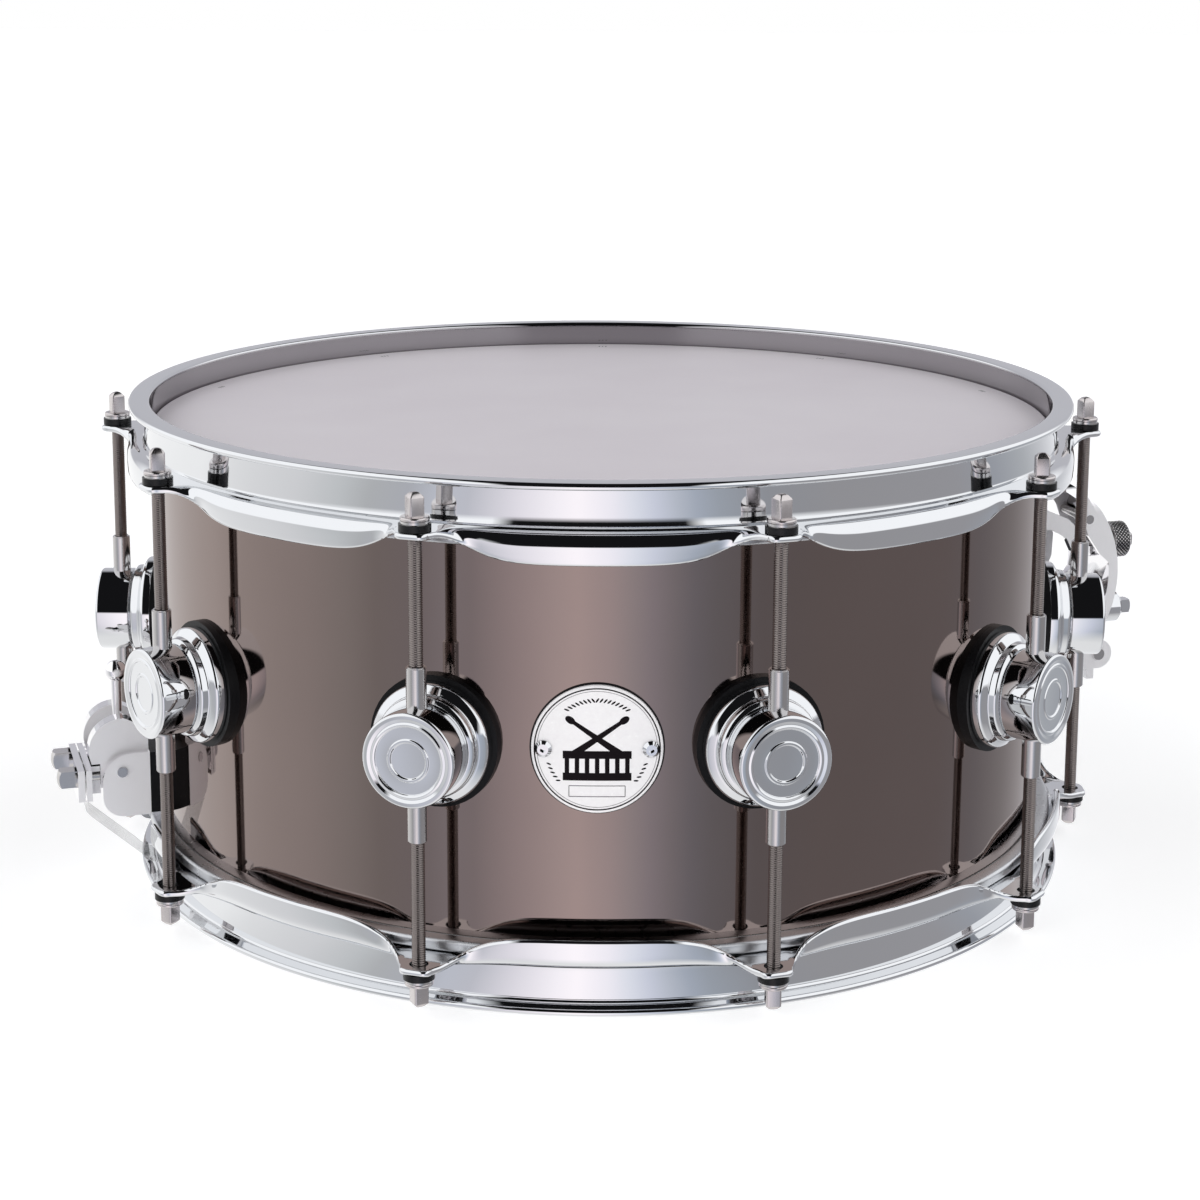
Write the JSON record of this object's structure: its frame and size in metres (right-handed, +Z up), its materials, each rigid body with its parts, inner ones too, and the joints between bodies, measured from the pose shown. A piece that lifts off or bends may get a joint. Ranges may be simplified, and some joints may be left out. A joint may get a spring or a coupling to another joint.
{
  "type": "snare drum",
  "caption": "Snare drum: mirror-plated metal shell with twin-tube lugs, flanged hoops, two heads, threaded tension rods, a lever strainer with knob, a lever butt plate and wire snares.",
  "frame": {"origin": "on the drum axis in the plane of the lower rim", "axes": "+Z up the drum axis from the snare side to the playing side, -Y through the badge, +X to the right seen from the badge"},
  "size_m": [0.4464, 0.396, 0.1858],
  "materials": {
    "shell_plating": "black nickel mirror plating over brass sheet",
    "chrome": "bright chrome plating",
    "polished_steel": "polished stainless steel",
    "rod_steel": "dull stainless steel with a rolled thread",
    "satin_metal": "fine bead-blasted satin",
    "black_metal": "black anodised",
    "rubber": "matte black rubber",
    "nylon": "black nylon",
    "coated_film": "sprayed matte coating on polyester film",
    "clear_film": "clear polyester film",
    "badge_enamel": "white enamel with dark printed rings",
    "aluminium": "extruded aluminium"
  },
  "bodies": {
    "drum": {"shell": "shell_plating", "vent_grommet": "chrome", "badge_gasket": "rubber", "badge_plate": "badge_enamel", "badge_screws": "chrome", "lug_gaskets": "rubber", "lug_bases": "chrome", "lug_caps": "chrome", "lug_tubes": "polished_steel", "lug_screws": "polished_steel", "batter_head": "coated_film", "batter_flesh_hoop": "aluminium", "snare_head": "clear_film", "snare_flesh_hoop": "aluminium", "batter_hoop": "chrome", "snare_hoop": "chrome", "rod_washers": "polished_steel", "rod_bushings": "nylon", "strainer_gasket": "rubber", "strainer_base": "chrome", "strainer_screws": "polished_steel", "strainer_pin": "polished_steel", "butt_gasket": "rubber", "butt_base": "chrome", "butt_screws": "polished_steel", "butt_pin": "polished_steel"},
    "strainer_lever_body": {"strainer_lever": "satin_metal", "strainer_cross_pin": "polished_steel", "strainer_key_screw": "chrome"},
    "strainer_knob_body": {"strainer_knob": "polished_steel"},
    "strainer_carriage_body": {"strainer_carriage": "black_metal", "strainer_clamp": "chrome", "strainer_clamp_screws": "polished_steel"},
    "butt_lever_body": {"butt_lever": "chrome"},
    "butt_clamp_body": {"butt_clamp": "chrome", "butt_clamp_screws": "polished_steel"},
    "snare_set": {"snare_wires": "polished_steel", "snare_end_plates": "chrome", "snare_straps": "clear_film"},
    "tension_rod_top_01_body": {"tension_rod_top_01": "rod_steel"},
    "tension_rod_top_02_body": {"tension_rod_top_02": "rod_steel"},
    "tension_rod_top_03_body": {"tension_rod_top_03": "rod_steel"},
    "tension_rod_top_04_body": {"tension_rod_top_04": "rod_steel"},
    "tension_rod_top_05_body": {"tension_rod_top_05": "rod_steel"},
    "tension_rod_top_06_body": {"tension_rod_top_06": "rod_steel"},
    "tension_rod_top_07_body": {"tension_rod_top_07": "rod_steel"},
    "tension_rod_top_08_body": {"tension_rod_top_08": "rod_steel"},
    "tension_rod_top_09_body": {"tension_rod_top_09": "rod_steel"},
    "tension_rod_top_10_body": {"tension_rod_top_10": "rod_steel"},
    "tension_rod_bottom_01_body": {"tension_rod_bottom_01": "rod_steel"},
    "tension_rod_bottom_02_body": {"tension_rod_bottom_02": "rod_steel"},
    "tension_rod_bottom_03_body": {"tension_rod_bottom_03": "rod_steel"},
    "tension_rod_bottom_04_body": {"tension_rod_bottom_04": "rod_steel"},
    "tension_rod_bottom_05_body": {"tension_rod_bottom_05": "rod_steel"},
    "tension_rod_bottom_06_body": {"tension_rod_bottom_06": "rod_steel"},
    "tension_rod_bottom_07_body": {"tension_rod_bottom_07": "rod_steel"},
    "tension_rod_bottom_08_body": {"tension_rod_bottom_08": "rod_steel"},
    "tension_rod_bottom_09_body": {"tension_rod_bottom_09": "rod_steel"},
    "tension_rod_bottom_10_body": {"tension_rod_bottom_10": "rod_steel"}
  },
  "joints": [
    {"name": "butt_lever_hinge", "type": "hinge", "parent": "drum", "child": "butt_lever_body", "pos_m": [-0.18688, -0.06072, 0.049], "axis": [0.309, -0.9511, 0], "range_deg": [0, 40]},
    {"name": "butt_clamp_slide", "type": "slide", "parent": "drum", "child": "butt_clamp_body", "axis": [0, 0, 1], "range_m": [-0.0016, 0]},
    {"name": "snare_set_drop", "type": "slide", "parent": "drum", "child": "snare_set", "axis": [0, 0, 1], "range_m": [-0.0036, 0]},
    {"name": "strainer_carriage_slide", "type": "slide", "parent": "drum", "child": "strainer_carriage_body", "axis": [0, 0, 1], "range_m": [-0.0036, 0]},
    {"name": "strainer_knob_turn", "type": "hinge", "parent": "strainer_lever_body", "child": "strainer_knob_body", "pos_m": [0.22445, 0.07293, 0.107], "axis": [0.9511, 0.309, 0], "range_deg": [-540, 540]},
    {"name": "strainer_lever_hinge", "type": "hinge", "parent": "drum", "child": "strainer_lever_body", "pos_m": [0.21018, 0.06829, 0.0607], "axis": [-0.309, 0.9511, 0], "range_deg": [0, 90]},
    {"name": "tension_rod_top_01_turn", "type": "hinge", "parent": "drum", "child": "tension_rod_top_01_body", "pos_m": [0.195, 0, 0.15], "axis": [0, 0, 1], "continuous": true},
    {"name": "tension_rod_top_02_turn", "type": "hinge", "parent": "drum", "child": "tension_rod_top_02_body", "pos_m": [0.15776, 0.11462, 0.15], "axis": [0, 0, 1], "continuous": true},
    {"name": "tension_rod_top_03_turn", "type": "hinge", "parent": "drum", "child": "tension_rod_top_03_body", "pos_m": [0.06026, 0.18546, 0.15], "axis": [0, 0, 1], "continuous": true},
    {"name": "tension_rod_top_04_turn", "type": "hinge", "parent": "drum", "child": "tension_rod_top_04_body", "pos_m": [-0.06026, 0.18546, 0.15], "axis": [0, 0, 1], "continuous": true},
    {"name": "tension_rod_top_05_turn", "type": "hinge", "parent": "drum", "child": "tension_rod_top_05_body", "pos_m": [-0.15776, 0.11462, 0.15], "axis": [0, 0, 1], "continuous": true},
    {"name": "tension_rod_top_06_turn", "type": "hinge", "parent": "drum", "child": "tension_rod_top_06_body", "pos_m": [-0.195, 0, 0.15], "axis": [0, 0, 1], "continuous": true},
    {"name": "tension_rod_top_07_turn", "type": "hinge", "parent": "drum", "child": "tension_rod_top_07_body", "pos_m": [-0.15776, -0.11462, 0.15], "axis": [0, 0, 1], "continuous": true},
    {"name": "tension_rod_top_08_turn", "type": "hinge", "parent": "drum", "child": "tension_rod_top_08_body", "pos_m": [-0.06026, -0.18546, 0.15], "axis": [0, 0, 1], "continuous": true},
    {"name": "tension_rod_top_09_turn", "type": "hinge", "parent": "drum", "child": "tension_rod_top_09_body", "pos_m": [0.06026, -0.18546, 0.15], "axis": [0, 0, 1], "continuous": true},
    {"name": "tension_rod_top_10_turn", "type": "hinge", "parent": "drum", "child": "tension_rod_top_10_body", "pos_m": [0.15776, -0.11462, 0.15], "axis": [0, 0, 1], "continuous": true},
    {"name": "tension_rod_bottom_01_turn", "type": "hinge", "parent": "drum", "child": "tension_rod_bottom_01_body", "pos_m": [0.195, 0, 0.036], "axis": [0, 0, 1], "continuous": true},
    {"name": "tension_rod_bottom_02_turn", "type": "hinge", "parent": "drum", "child": "tension_rod_bottom_02_body", "pos_m": [0.15776, 0.11462, 0.036], "axis": [0, 0, 1], "continuous": true},
    {"name": "tension_rod_bottom_03_turn", "type": "hinge", "parent": "drum", "child": "tension_rod_bottom_03_body", "pos_m": [0.06026, 0.18546, 0.036], "axis": [0, 0, 1], "continuous": true},
    {"name": "tension_rod_bottom_04_turn", "type": "hinge", "parent": "drum", "child": "tension_rod_bottom_04_body", "pos_m": [-0.06026, 0.18546, 0.036], "axis": [0, 0, 1], "continuous": true},
    {"name": "tension_rod_bottom_05_turn", "type": "hinge", "parent": "drum", "child": "tension_rod_bottom_05_body", "pos_m": [-0.15776, 0.11462, 0.036], "axis": [0, 0, 1], "continuous": true},
    {"name": "tension_rod_bottom_06_turn", "type": "hinge", "parent": "drum", "child": "tension_rod_bottom_06_body", "pos_m": [-0.195, 0, 0.036], "axis": [0, 0, 1], "continuous": true},
    {"name": "tension_rod_bottom_07_turn", "type": "hinge", "parent": "drum", "child": "tension_rod_bottom_07_body", "pos_m": [-0.15776, -0.11462, 0.036], "axis": [0, 0, 1], "continuous": true},
    {"name": "tension_rod_bottom_08_turn", "type": "hinge", "parent": "drum", "child": "tension_rod_bottom_08_body", "pos_m": [-0.06026, -0.18546, 0.036], "axis": [0, 0, 1], "continuous": true},
    {"name": "tension_rod_bottom_09_turn", "type": "hinge", "parent": "drum", "child": "tension_rod_bottom_09_body", "pos_m": [0.06026, -0.18546, 0.036], "axis": [0, 0, 1], "continuous": true},
    {"name": "tension_rod_bottom_10_turn", "type": "hinge", "parent": "drum", "child": "tension_rod_bottom_10_body", "pos_m": [0.15776, -0.11462, 0.036], "axis": [0, 0, 1], "continuous": true}
  ],
  "couplings": [
    {"joint": "butt_clamp_slide", "follows": "butt_lever_hinge", "m_per_rad": -0.0021486},
    {"joint": "snare_set_drop", "follows": "strainer_lever_hinge", "m_per_rad": -0.0022282},
    {"joint": "strainer_carriage_slide", "follows": "strainer_lever_hinge", "m_per_rad": -0.0022282}
  ]
}
